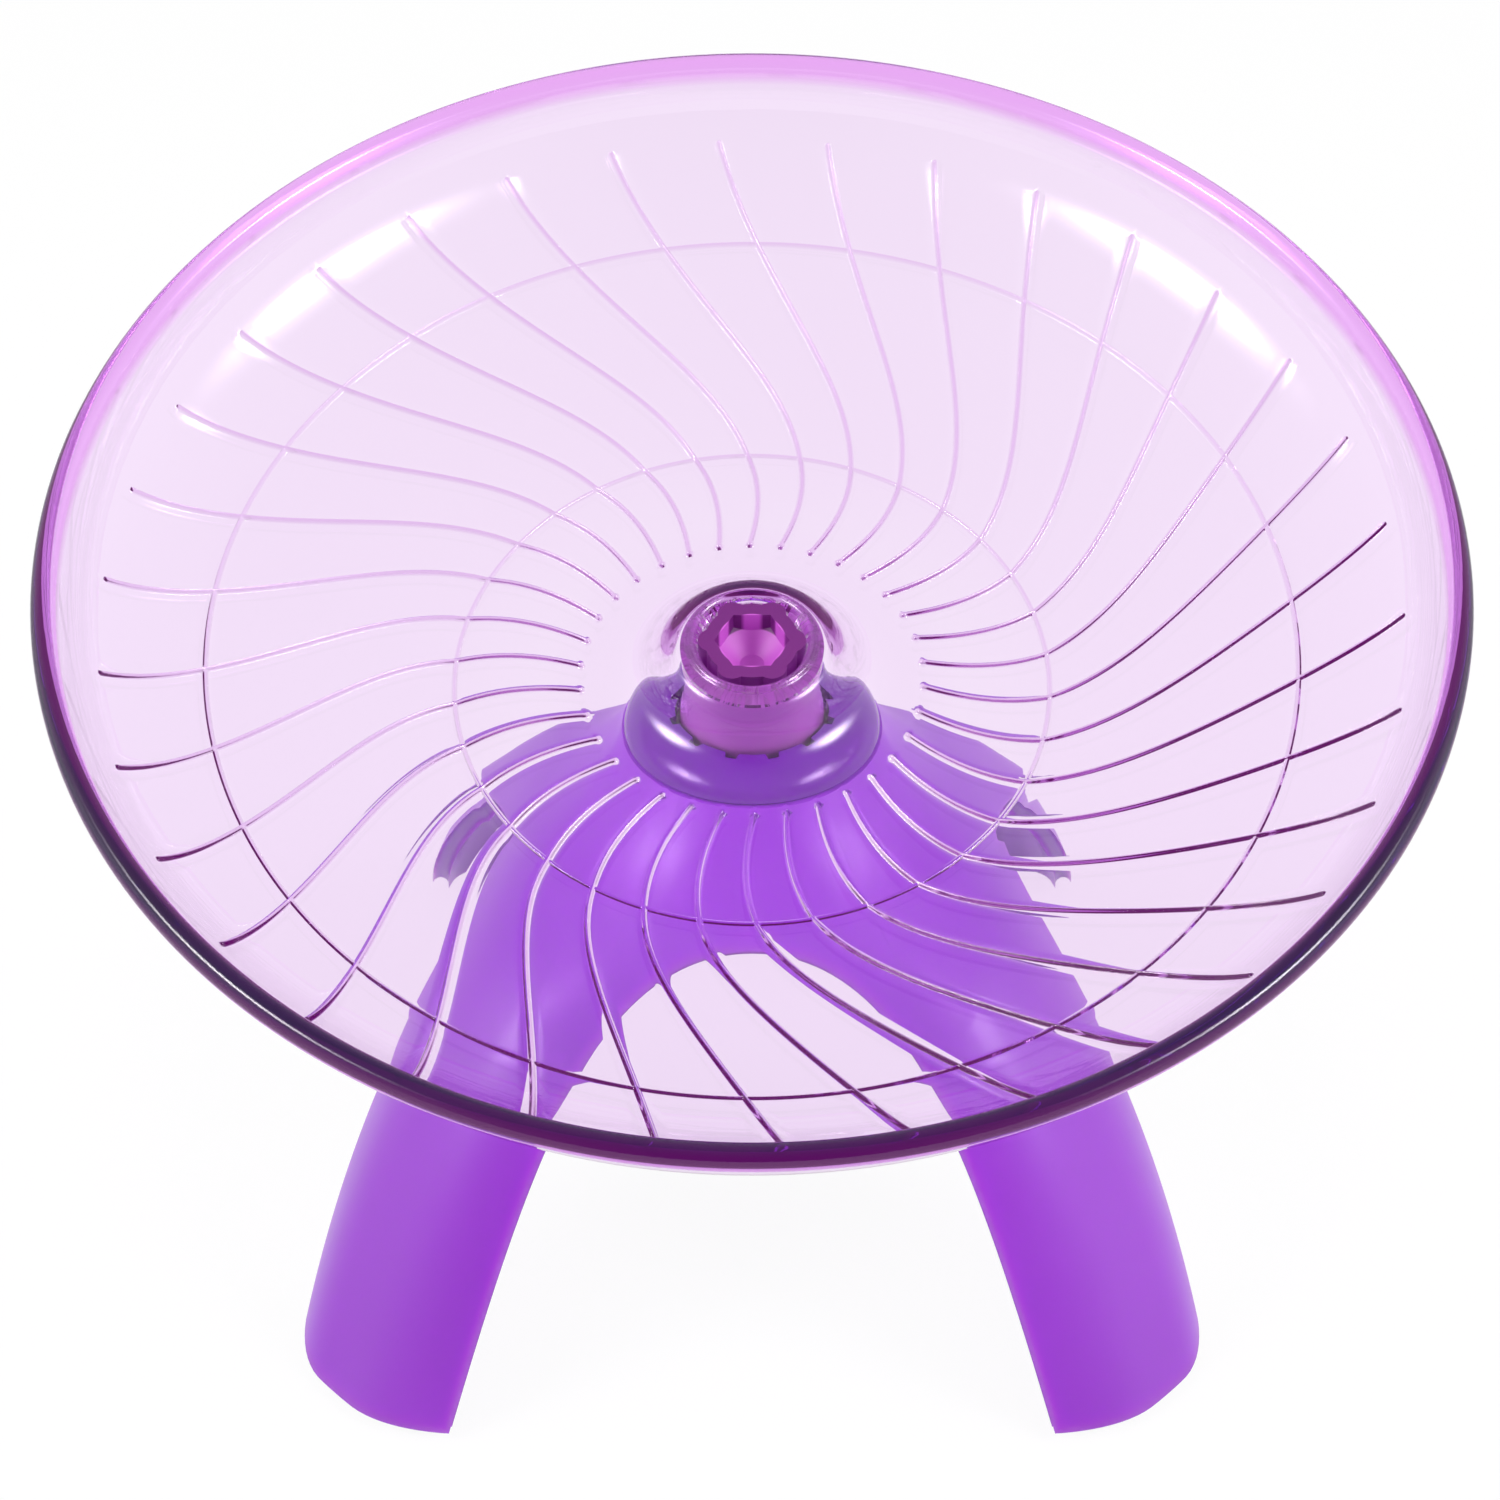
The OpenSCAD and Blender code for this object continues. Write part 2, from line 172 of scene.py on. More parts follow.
FLANK_POINTS = 300
ARCH_POINTS = 600
ARCH_COLUMNS = 60
FOOT_COLUMNS = 24
STAND_ROWS = 48
STAND_START = CROWN_Z - 0.05
ROW_BIAS = 0.9
EDGE_ROWS = 7
SEARCH_STEPS = 40
FAR = 400.0
LEAST_FACING = 0.1
LEAST_BLEND = 0.02

# Cup under the crown for the bearing
CUP_R = 11.03
CUP_OUT_R = CUP_R + 2.4
CUP_HOLE_R = 9
CUP_TOP = -8.4
CUP_FLOOR = -21
CUP_BOTTOM = -22.5
CUP_EDGE = 0.6
CUP = [
    (CUP_R, CUP_TOP),
    (CUP_R, CUP_FLOOR),
    (CUP_HOLE_R, CUP_FLOOR),
    (CUP_HOLE_R, CUP_BOTTOM),
    (CUP_OUT_R - CUP_EDGE, CUP_BOTTOM),
    (CUP_OUT_R, CUP_BOTTOM + CUP_EDGE),
    (CUP_OUT_R, -15),
    (CUP_OUT_R, CUP_TOP),
]

# Smooth shading stops at edges sharper than SHARP, and small rounds go on edges sharper than BEVELLED
SHARP = math.radians(35)
BEVELLED = math.radians(40)
CAD_EDGE = 0.12

# Clear plastic: colours of its body, its ridges and its rim, of lamp light that passes it, of the painted glow that
# stands in for light thrown about inside its edges, and of what its depth lets through
BODY_TINTS = (0.985, 0.955, 0.99), (0.995, 0.98, 1.0)
RIDGE_TINT = (0.80, 0.55, 0.86)
BAND_TINT = (0.96, 0.56, 0.99)
PASSING_TINT = (0.93, 0.86, 0.96)
# The next two: colour and share of a painted glow in the plastic's edges, light that no lamp gives
PAINTED_EDGE_GLOW = (0.32, 0.006, 0.25)
PAINTED_GLOW_SHARE = 0.16
DEPTH_TINT = (0.66, 0.0, 0.86)
DEPTH_DENSITY = 120
PLASTIC_IOR = 1.5

# How far the painted light near the spindle's axis, a paler colour where light comes through a thin wall, fades out
PAINTED_LIGHT_FADE = 0.15

# Studio. The world's strength in the direction (x, y, z) is WORLD_LEVEL + WORLD_SIDES x² + WORLD_REAR y, and a
# softbox's falls from CLOTH_LEVEL in its middle as exp(-CLOTH_FADE d²), where the softbox is 1 wide and 1 high.
WHITE = (1, 1, 1)
FLOOR_GREY = (0.88, 0.88, 0.88)
FLOOR_GLOW = 0.93
FLOOR_HALF = 6000
FLOOR_GAP = 0.2
WORLD_LEVEL = 0.38
WORLD_SIDES = 1.0
WORLD_REAR = 0.27
WORLD_LEAST = 0.02
SOFTBOX_AT = (740, -300, 700)
SOFTBOX_AIM = (0, 0, 70)
SOFTBOX_W = 950
SOFTBOX_H = 500
SOFTBOX_WATTS = 5.6
CLOTH_LEVEL = 6.4
CLOTH_FADE = 20

# Camera, fitted to the photograph. It looks down by CAMERA_PITCH degrees.
CAMERA_AT = (0, AXIS_Y - 405.92, 383.27)
CAMERA_PITCH = 37.807
CAMERA_LENS = 92.93
CAMERA_SENSOR = 36
CAMERA_SHIFT = -1.99 / 1500
CAMERA_CLIP = 10


def curve(handles, t):
    """Points on a cubic curve at the shares t of its run."""
    a, b, c, d = (np.array(h, float) for h in handles)
    t = np.asarray(t, float)[..., None]
    return (1 - t) ** 3 * a + 3 * t * (1 - t) ** 2 * b + 3 * t * t * (1 - t) * c + t**3 * d


def heading(handles, t):
    """Unit directions of a cubic curve at the shares t of its run."""
    a, b, c, d = (np.array(h, float) for h in handles)
    t = np.asarray(t, float)[..., None]
    v = (1 - t) ** 2 * (b - a) + 2 * t * (1 - t) * (c - b) + t * t * (d - c)
    return v / np.linalg.norm(v, axis=-1, keepdims=True)


def beside(handles, t, side):
    """The same points moved to the curve's left by side."""
    h = heading(handles, t)
    return curve(handles, t) + side * np.stack([-h[..., 1], h[..., 0]], -1)


def arc(centre, radius, start, end, count):
    """Points on a circle in a profile, from one angle to another in degrees."""
    a = np.radians(np.linspace(start, end, count))
    return np.stack([centre[0] + radius * np.cos(a), centre[1] + radius * np.sin(a)], -1)


def shade(mesh):
    """Smooth shading, apart from sharp edges."""
    mesh.polygons.foreach_set("use_smooth", [True] * len(mesh.polygons))
    mesh.set_sharp_from_angle(angle=SHARP)


def make_object(name, verts, faces, place=Matrix.Identity(4)):
    """A mesh object from points in millimetres, set in place."""
    mesh = bpy.data.meshes.new(name)
    mesh.from_pydata([Vector(v) * MM for v in verts], [], faces)
    mesh.transform(place)
    bm = bmesh.new()
    bm.from_mesh(mesh)
    bmesh.ops.recalc_face_normals(bm, faces=bm.faces)
    bm.to_mesh(mesh)
    bm.free()
    shade(mesh)
    made = bpy.data.objects.new(name, mesh)
    bpy.context.scene.collection.objects.link(made)
    return made


def grid_faces(rows, columns, closed_rows=False):
    """Quads of a grid whose columns run round, and whose rows close too if asked."""
    faces = []
    for i in range(rows if closed_rows else rows - 1):
        a, b = i * columns, (i + 1) % rows * columns
        for j in range(columns):
            k = (j + 1) % columns
            faces.append((a + j, a + k, b + k, b + j))
    return faces


def lathe(name, profile, segments, place=ON_AXIS):
    """A closed profile turned about its own upright axis, set in place."""
    angles = np.linspace(0, 2 * math.pi, segments, endpoint=False)
    verts = [(r * math.cos(a), r * math.sin(a), h) for r, h in profile for a in angles]
    return make_object(name, verts, grid_faces(len(profile), segments, closed_rows=True), place)


def join(*parts):
    """One object from several, under the first one's name."""
    chosen = {"selected_objects": parts, "selected_editable_objects": parts}
    with bpy.context.temp_override(active_object=parts[0], object=parts[0], **chosen):
        bpy.ops.object.join()
    return parts[0]


def soften(made, width, segments):
    """A small round on an object's edges."""
    soft = made.modifiers.new("edges", "BEVEL")
    soft.width = width * MM
    soft.segments = segments
    soft.limit_method = "ANGLE"
    soft.angle_limit = BEVELLED


def bake_modifiers(made):
    """Applies an object's modifiers to its mesh."""
    done = bpy.data.meshes.new_from_object(made.evaluated_get(bpy.context.evaluated_depsgraph_get()))
    made.modifiers.clear()
    made.data = done
    shade(done)


# Dish


def smooth_bump(x):
    """1 at 0, falling to 0 at 1 with a round top."""
    return np.where(np.abs(x) < 1, np.cos(np.clip(np.abs(x), 0, 1) * math.pi / 2) ** BUMP_ROUND, 0)


def dish_rows():
    """Rows of the dish's section: from the sleeve's lip over the top to the rim, and back below."""
    radii = list(np.arange(BELL_R + ROW_STEP, RIB_OUT_R, ROW_STEP))
    for middle, half in RIDGES:
        radii = [r for r in radii if abs(r - middle) > half + ROW_GAP]
        radii += list(middle + half * RIDGE_ROWS)
    radii.sort()
    bell = curve(BELL, np.linspace(1, 0, 18))
    flat = [(r, np.interp(r, [BELL_R, SMALL_RING_R], [FLOOR_STEP, 0])) for r in radii if r < SMALL_RING_R]
    t = np.linspace(0, 1, SLOPE_POINTS)
    slope = curve(SLOPE, t)
    rising = [(r, np.interp(r, slope[:, 0], slope[:, 1])) for r in radii if r >= SMALL_RING_R]
    wall = curve(SLOPE, np.linspace(np.interp(radii[-1], slope[:, 0], t), SLOPE_END, 9)[1:])
    rim_top = arc((RIM_R, RIM_HIGH), RIM_HALF, start=178, end=0, count=15)
    rim_side = arc((RIM_R, RIM_LOW), RIM_HALF, start=0, end=-52, count=6)
    under = beside(SLOPE, np.linspace(UNDER_END, 0, 30), -WALL)
    bell_under = beside(BELL, np.linspace(0, UNDER_END, 16), WALL)
    top = [*LIP, *bell[bell[:, 0] > BELL_TOP_R], *flat, *rising, *wall, *rim_top, *rim_side]
    below = [*under, BELL_FOOT, *bell_under, (SLEEVE_R, SLEEVE_JOIN)]
    return np.array(top), np.array(below)


def ridge_heights(r, width):
    """How far ribs, dots and rings rise at a radius, in columns this many half widths from a rib's middle."""
    past = max(RIB_IN_R - r, r - RIB_OUT_R, 0) / RIB_HALF_W
    rib = RIB_H * smooth_bump(np.hypot(width, past))
    dot = DOT_H * smooth_bump(np.hypot(width * RIB_HALF_W, r - RIB_IN_R) / DOT_R)
    ring = RING_H * max(float(smooth_bump((r - middle) / RING_HALF_W)) for middle in (SMALL_RING_R, LARGE_RING_R))
    return np.maximum(np.maximum(rib, dot), ring)


def make_dish():
    """The dish as one closed skin, on a polar grid whose spokes follow the grip ribs. Its points carry how far they
    lie on a ridge and in the rim's band, for the plastic's colour."""
    plan = curve(RIB_PLAN, np.linspace(0, 1, PLAN_POINTS))
    plan_r = np.hypot(plan[:, 0], plan[:, 1])
    plan_angle = np.arctan2(plan[:, 0], plan[:, 1])
    lean = np.gradient(plan_angle, plan_r) * plan_r
    between = np.linspace(0, 1, GAP_COLUMNS + 2)[1:-1]
    edge = RIB_COLUMNS[-1]
    width = np.concatenate([RIB_COLUMNS, [OFF_RIB] * GAP_COLUMNS])
    top, below = dish_rows()
    verts, relief, band = [], [], []
    for rows, ridged in ((top, True), (below, False)):
        for r, h in rows:
            near = min(max(r, RIB_IN_R), RIB_OUT_R)
            half = RIB_HALF_W / near * math.sqrt(1 + np.interp(near, plan_r, lean) ** 2)
            middle = np.interp(near, plan_r, plan_angle) - RIB_PHASE
            offsets = np.concatenate([RIB_COLUMNS * half, half * edge + between * (RIB_PITCH - 2 * edge * half)])
            rises = ridge_heights(r, width) if ridged else np.zeros(len(width))
            for i in range(RIB_COUNT):
                for offset, rise in zip(offsets, rises):
                    a = middle + offset + i * RIB_PITCH
                    verts.append((r * math.sin(a), r * math.cos(a), h + rise))
            in_band = np.clip((h - RIM_LOW + RIM_HALF) / BAND_FADE, 0, 1) if r > RIM_R - BAND_W else 0
            relief += list(rises / RIB_H) * RIB_COUNT
            band += [float(in_band)] * len(width) * RIB_COUNT
    faces = grid_faces(len(top) + len(below), RIB_COUNT * len(width), closed_rows=True)
    made = make_object("dish_shell", verts, faces, ON_AXIS)
    for name, values in (("relief", relief), ("band", band)):
        made.data.attributes.new(name, "FLOAT", "POINT").data.foreach_set("value", values)
    return made


# Stand: a thin shell with four arches, on a grid whose columns end along the arches and the feet


def flank_table(foot, bend):
    """Heights on one of the stand's outlines, and its distances from the collar's axis there."""
    reach = foot - CROWN_R
    high = (CROWN_R + bend[0] * reach, bend[1] * CROWN_Z)
    low = (CROWN_R + bend[2] * reach, bend[3] * CROWN_Z)
    points = curve([(CROWN_R, CROWN_Z), high, low, (foot, 0)], np.linspace(1, 0, FLANK_POINTS))
    return points[:, 1], points[:, 0]


FLANK_TABLES = {name: flank_table(*shape) for name, shape in FLANKS.items()}


def soft_min(a, b, blend):
    """The smaller of a and b, with the corner between them rounded over blend."""
    h = np.clip(0.5 + 0.5 * (b - a) / blend, 0, 1)
    return b * (1 - h) + a * h - blend * h * (1 - h)


def wall_reach(distance, facing):
    """How far away an upright wall is, seen in a direction whose cosine with the wall's own is facing."""
    return np.where(facing > LEAST_FACING, distance / np.maximum(facing, LEAST_FACING), FAR)


def stand_reach(angle, z):
    """Distance from the collar's axis to the stand's outside. The angle runs from the front to the right."""
    x, y = np.sin(angle), -np.cos(angle)
    at = {name: np.interp(z, *table) for name, table in FLANK_TABLES.items()}
    ends = np.minimum(wall_reach(at["front"], -y), wall_reach(at["rear"], y))
    side = wall_reach(at["side"], np.abs(x) * math.cos(SIDE_TAPER) + y * math.sin(SIDE_TAPER))
    forward = (CROWN_Z - z) * math.tan(CORNER_LEAN)
    along = -y * forward
    corner = along + np.sqrt(at["corner"] ** 2 - forward**2 + along**2)
    blend = np.clip((CROWN_Z - z) / BLEND_RUN, LEAST_BLEND, 1) * CORNER_BLEND
    return soft_min(soft_min(ends, side, blend), corner, blend)


def around_collar(angle, r, z):
    """Points at a distance from the collar's axis."""
    x = r * np.sin(angle)
    return np.stack([x, COLLAR_Y - r * np.cos(angle), z + 0 * x], -1)


def stand_point(angle, z):
    """Points on the stand's outside."""
    return around_collar(angle, stand_reach(angle, z), z)


def stand_normal(angle, z):
    """Unit directions straight out of the stand's outside."""
    turn, rise = 0.001, 0.02
    round_way = stand_point(angle + turn, z) - stand_point(angle - turn, z)
    up_way = stand_point(angle, z + rise) - stand_point(angle, z - rise)
    n = np.cross(round_way, up_way)
    return n / np.linalg.norm(n, axis=-1, keepdims=True)


def arch_edge(arch, spread):
    """Half of an arch's outline from its top down to a foot, moved out by spread: (half width, height)."""
    top, half, bend = arch
    handles = [(0, top), (bend[0] * half, top), (bend[1] * half, bend[2] * top), (half, 0)]
    line = beside(handles, np.linspace(0, 1, ARCH_POINTS), spread)
    line = line[(line[:, 0] >= 0) & (line[:, 1] >= spread)]
    run = np.concatenate([[0], np.cumsum(np.linalg.norm(np.diff(line, axis=0), axis=1))])
    at = np.linspace(0, run[-1], ARCH_COLUMNS)
    return np.stack([np.interp(at, run, line[:, 0]), np.interp(at, run, line[:, 1])], -1)


def find_angle(low, high, z, coordinate, value):
    """The angle between low and high at which the stand's outside has that value of x (0) or y (1)."""
    start = stand_point(low, z)[coordinate] - value
    if abs(start) < 1e-9:
        return low
    for _ in range(SEARCH_STEPS):
        middle = (low + high) / 2
        if (stand_point(middle, z)[coordinate] - value) * start > 0:
            low = middle
        else:
            high = middle
    return low


def stand_edge():
    """The lower edge of the stand's right half as (angle, height), from the front to the rear. Each search has a
    range of angles that holds that half of the arch."""
    spread = STAND_WALL / 2
    middle = AXIS_Y + SIDE_ARCH_SHIFT
    front = [(find_angle(0, 1.2, z, 0, w), z) for w, z in arch_edge(FRONT_ARCH, spread)]
    side = arch_edge(SIDE_ARCH, spread)
    side_front = [(find_angle(0.75, 1.75, z, 1, middle - w), z) for w, z in side]
    side_rear = [(find_angle(1.45, 2.5, z, 1, middle + w), z) for w, z in side]
    rear = [(find_angle(math.pi, math.pi - 1.2, z, 0, w), z) for w, z in arch_edge(REAR_ARCH, spread)]
    feet = []
    for start, end in ((front[-1], side_front[-1]), (side_rear[-1], rear[-1])):
        feet.append([(angle, spread) for angle in np.linspace(start[0], end[0], FOOT_COLUMNS + 2)[1:-1]])
    return front + feet[0] + side_front[::-1] + side_rear[1:] + feet[1] + rear[::-1]


def make_stand():
    """The stand's shell, with a round lower edge, and the cup for the bearing under its crown."""
    right = stand_edge()
    left = [(-a, z) for a, z in right[1:-1][::-1]]
    angle, low = np.array(right + left).T
    outer, inner = [], []
    for share in np.linspace(0, 1, STAND_ROWS) ** ROW_BIAS:
        z = STAND_START - (STAND_START - low) * share
        point = stand_point(angle, z)
        outer.append(point)
        inner.append(point - stand_normal(angle, z) * STAND_WALL)
    middle = (outer[-1] + inner[-1]) / 2
    out = (outer[-1] - inner[-1]) / STAND_WALL
    along = np.roll(outer[-1], -1, 0) - np.roll(outer[-1], 1, 0)
    away = np.cross(out, along)
    away /= np.linalg.norm(away, axis=1, keepdims=True)
    turns = np.linspace(0, math.pi, EDGE_ROWS + 2)[1:-1]
    bend = [middle + STAND_WALL / 2 * (math.cos(a) * out + math.sin(a) * away) for a in turns]
    crown = [around_collar(angle, r, CROWN_Z) for r in (CROWN_HOLE_R, CROWN_R - CROWN_EDGE)]
    roof = around_collar(angle, CROWN_HOLE_R, CROWN_Z - STAND_WALL)
    rows = [*crown, *outer, *bend, *inner[::-1], roof]
    verts = np.concatenate(rows)
    verts[:, 2] = np.maximum(verts[:, 2], 0)
    shell = make_object("stand_shell", verts, grid_faces(len(rows), len(angle), closed_rows=True))
    return join(shell, lathe("bearing_cup", CUP, segments=96))


# Collar


def mouth_outline():
    """Points round the collar's mouth, with its notches."""
    share = NOTCH_W / (2 * math.pi * SPIGOT_IN_R / NOTCH_COUNT)
    count = NOTCH_COUNT * NOTCH_STEPS
    points = []
    for i in range(count):
        a = 2 * math.pi * (i + 0.5) / count
        phase = (i + 0.5) % NOTCH_STEPS / NOTCH_STEPS - 0.5
        r = SPIGOT_IN_R + (NOTCH_DEPTH if abs(phase) < share / 2 else 0)
        points.append((r * math.cos(a), r * math.sin(a)))
    return points


def make_collar():
    """The collar's dome with its mouth cut along the tilted axis, and its spigot."""
    sweep = np.radians(np.linspace(3, 90, 40))
    dome = [(DOME_TIP_R, 0), (COLLAR_R - COLLAR_EDGE, 0), (COLLAR_R, COLLAR_FOOT)]
    dome += [(COLLAR_R * math.cos(a), COLLAR_H * math.sin(a)) for a in sweep[:-1]] + [(DOME_TIP_R, COLLAR_H)]
    made = lathe("collar_dome", dome, segments=128, place=Matrix.Translation((0, COLLAR_Y * MM, CROWN_Z * MM)))
    outline = mouth_outline()
    count = len(outline)
    verts = [(x, y, h) for h in MOUTH_CUT for x, y in outline]
    faces = grid_faces(2, count) + [tuple(range(count)), tuple(range(2 * count - 1, count - 1, -1))]
    cutter = make_object("mouth_cutter", verts, faces, ON_AXIS)
    cut = made.modifiers.new("mouth", "BOOLEAN")
    cut.operation = "DIFFERENCE"
    cut.solver = "EXACT"
    cut.object = cutter
    soften(made, COLLAR_EDGE, segments=3)
    bake_modifiers(made)
    bpy.data.objects.remove(cutter)
    return join(made, lathe("spigot", SPIGOT, segments=96))


# Materials


class Nodes:
    """The node tree of a material, a lamp or the world, with short ways to add and join its nodes."""

    def __init__(self, owner, output):
        """Empties the owner's tree, and adds an output node of that kind."""
        owner.use_nodes = True
        self.tree = owner.node_tree
        self.tree.nodes.clear()
        self.out = self.add(output)

    def add(self, kind, inputs=None, **settings):
        """A node of that kind. Its inputs, by name or number, take a constant or another node's output."""
        node = self.tree.nodes.new(kind)
        for key, value in settings.items():
            setattr(node, key, value)
        for key, value in (inputs or {}).items():
            self.feed(node.inputs[key], value)
        return node

    def feed(self, socket, value):
        """Links an input to another node's output, or sets it to a constant. A colour is (red, green, blue)."""
        if isinstance(value, bpy.types.NodeSocket):
            self.tree.links.new(value, socket)
        elif socket.type == "RGBA":
            socket.default_value = (*value, 1)
        else:
            socket.default_value = value

    def surface(self, shader):
        """Makes a shader the tree's result."""
        self.feed(self.out.inputs["Surface"], shader)

    def calc(self, operation, *values):
        """The result of an operation on numbers."""
        return self.add("ShaderNodeMath", dict(enumerate(values)), operation=operation).outputs[0]

    def vector_calc(self, operation, *values):
        """The result of an operation on vectors: a number for a dot product or a length, otherwise a vector."""
        node = self.add("ShaderNodeVectorMath", dict(enumerate(values)), operation=operation)
        return node.outputs["Value" if operation in ("DOT_PRODUCT", "LENGTH") else "Vector"]

    def places(self):
        """Places on the object, in metres."""
        return self.add("ShaderNodeTexCoord").outputs["Object"]

    def attribute(self, name):
        """A number that the mesh's points carry."""
        return self.add("ShaderNodeAttribute", attribute_name=name).outputs["Fac"]

    def noise(self, scale, detail, stretch=None):
        """Soft noise of that scale, which is finer along an axis whose stretch is larger."""
        place = self.places()
        if stretch:
            place = self.add("ShaderNodeMapping", {"Vector": place, "Scale": stretch}).outputs["Vector"]
        return self.add("ShaderNodeTexNoise", {"Vector": place, "Scale": scale, "Detail": detail}).outputs["Fac"]

    def between(self, share, low, high, start=0.3, end=0.7):
        """A number that runs from low to high as share runs from start to end."""
        inputs = {"Value": share, "From Min": start, "From Max": end, "To Min": low, "To Max": high}
        return self.add("ShaderNodeMapRange", inputs).outputs["Result"]

    def blend(self, share, a, b):
        """A colour between a and b."""
        node = self.add("ShaderNodeMix", {"Factor": share}, data_type="RGBA")
        for name, value in (("A", a), ("B", b)):
            self.feed([s for s in node.inputs if s.name == name and s.type == "RGBA"][0], value)
        return [s for s in node.outputs if s.type == "RGBA"][0]

    def bump(self, height, depth, strength):
        """Normals of a surface that height moves by up to depth."""
        inputs = {"Height": height, "Distance": depth, "Strength": strength}
        return self.add("ShaderNodeBump", inputs).outputs["Normal"]

    def principled(self, **values):
        """A principled shader, with its inputs' names as keywords."""
        inputs = {key.replace("_", " "): value for key, value in values.items()}
        return self.add("ShaderNodeBsdfPrincipled", inputs).outputs["BSDF"]

    def glow(self, colour, strength=1):
        """A shader that gives light."""
        return self.add("ShaderNodeEmission", {"Color": colour, "Strength": strength}).outputs["Emission"]

    def mix(self, share, a, b):
        """Shader a where share is 0, and b where it is 1."""
        return self.add("ShaderNodeMixShader", {"Fac": share, 1: a, 2: b}).outputs["Shader"]

    def ray(self, *kinds):
        """1 for light rays of these kinds, and 0 for others."""
        path = self.add("ShaderNodeLightPath")
        seen, *others = (path.outputs[f"Is {kind} Ray"] for kind in kinds)
        for other in others:
            seen = self.calc("MAXIMUM", seen, other)
        return seen


def new_material(name):
    """A material without a surface yet, and its nodes."""
    made = bpy.data.materials.new(name)
    return made, Nodes(made, "ShaderNodeOutputMaterial")


def clear_plastic():
    """Clear polished plastic with a lilac body. Lamp light passes it, so that it lights what is below. Where a
    reflected ray meets it from inside, a share of a violet glow is painted in: painted light that stands in for light
    thrown back and forth inside an edge."""
    made, nodes = new_material("clear_lilac_plastic")
    haze = nodes.noise(scale=18, detail=2)
    swirl = nodes.noise(scale=9, detail=2, stretch=(1, 1, 3))
    ridged = nodes.blend(nodes.attribute("relief"), nodes.blend(haze, *BODY_TINTS), RIDGE_TINT)
    glass = nodes.principled(
        Base_Color=nodes.blend(nodes.attribute("band"), ridged, BAND_TINT),
        Roughness=nodes.between(swirl, 0.0, 0.03),
        IOR=PLASTIC_IOR,
        Transmission_Weight=1.0,
        Normal=nodes.bump(swirl, depth=0.0004, strength=0.06),
    )
    # Painted glow: violet light given out inside the plastic's edges, which are no lamp
    painted_glow = nodes.mix(PAINTED_GLOW_SHARE, glass, nodes.glow(PAINTED_EDGE_GLOW))
    inside = nodes.mix(nodes.add("ShaderNodeNewGeometry").outputs["Backfacing"], glass, painted_glow)
    edge = nodes.mix(nodes.ray("Reflection"), glass, inside)
    passing = nodes.add("ShaderNodeBsdfTransparent", {"Color": PASSING_TINT}).outputs["BSDF"]
    nodes.surface(nodes.mix(nodes.ray("Shadow"), edge, passing))
    depth = nodes.add("ShaderNodeVolumeAbsorption", {"Color": DEPTH_TINT, "Density": DEPTH_DENSITY})
    nodes.feed(nodes.out.inputs["Volume"], depth.outputs["Volume"])
    return made


def moulded(name, dark, light, roughness, scatter=0.0, coat=0.4, painted_light=None, painted_light_r=1.0):
    """Glossy moulded plastic with a slow change of shade and a faint flow of the melt. Within a given radius of the
    spindle's axis a paler colour can be painted in: painted light that stands in for light coming through a thin
    wall."""
    made, nodes = new_material(name)
    cloud = nodes.noise(scale=14, detail=2)
    flow = nodes.noise(scale=60, detail=4, stretch=(1, 1, 0.25))
    skin = nodes.noise(scale=900, detail=2)
    colour = nodes.blend(nodes.between(cloud, 0, 1), dark, light)
    # Painted light: a paler colour near the spindle's axis, where light comes through a thin wall
    if painted_light:
        arm = nodes.vector_calc("SUBTRACT", nodes.places(), ON_AXIS.to_translation())
        across = nodes.vector_calc("CROSS_PRODUCT", arm, ON_AXIS.to_3x3() @ Vector((0, 0, 1)))
        in_painted_light = nodes.between(nodes.vector_calc("LENGTH", across), 1, 0, painted_light_r * MM, (painted_light_r + PAINTED_LIGHT_FADE) * MM)
        colour = nodes.blend(in_painted_light, colour, painted_light)
    nodes.surface(nodes.principled(
        Base_Color=colour,
        Roughness=nodes.between(flow, *roughness),
        Subsurface_Weight=scatter,
        Subsurface_Radius=(1.0, 0.35, 1.0),
        Subsurface_Scale=0.004,
        Coat_Weight=coat,
        Coat_Roughness=0.05,
        Normal=nodes.bump(skin, depth=0.00003, strength=0.15),
    ))
    return made


def metal(name, dark, light, roughness):
    """Bare metal with fine tool marks."""
    made, nodes = new_material(name)
    cloud = nodes.noise(scale=120, detail=3)
    marks = nodes.noise(scale=700, detail=3, stretch=(1, 1, 12))
    nodes.surface(nodes.principled(
        Base_Color=nodes.blend(nodes.between(cloud, 0, 1), dark, light),
        Metallic=1.0,
        Roughness=nodes.between(marks, *roughness),
        Normal=nodes.bump(marks, depth=0.00002, strength=0.2),
    ))
    return made


def put(made, material):
    """Gives an object one material."""
    made.data.materials.clear()
    made.data.materials.append(material)


clear = clear_plastic()
stand_plastic = moulded("lilac_plastic", (0.24, 0.026, 0.47), (0.28, 0.036, 0.53), (0.3, 0.4), scatter=0.3, coat=0.1)
collar_plastic = moulded("violet_plastic", (0.10, 0.0, 0.25), (0.14, 0.001, 0.31), (0.16, 0.24), coat=0.3)
spindle_plastic = moulded(
    "magenta_plastic",
    (0.14, 0.008, 0.16),
    (0.19, 0.013, 0.21),
    (0.45, 0.55),
    coat=0.0,
    # painted light near the axis, where light comes through the spindle's thin wall
    painted_light=(0.64, 0.12, 0.68),
    painted_light_r=4.3,
)
sleeve_plastic = moulded("mauve_plastic", (0.36, 0.12, 0.39), (0.42, 0.15, 0.45), (0.18, 0.28), scatter=0.3)
nylon = moulded("cage_nylon", (0.62, 0.52, 0.30), (0.70, 0.62, 0.40), (0.4, 0.5), coat=0.0)
race_steel = metal("race_steel", (0.50, 0.51, 0.53), (0.60, 0.61, 0.63), (0.18, 0.3))
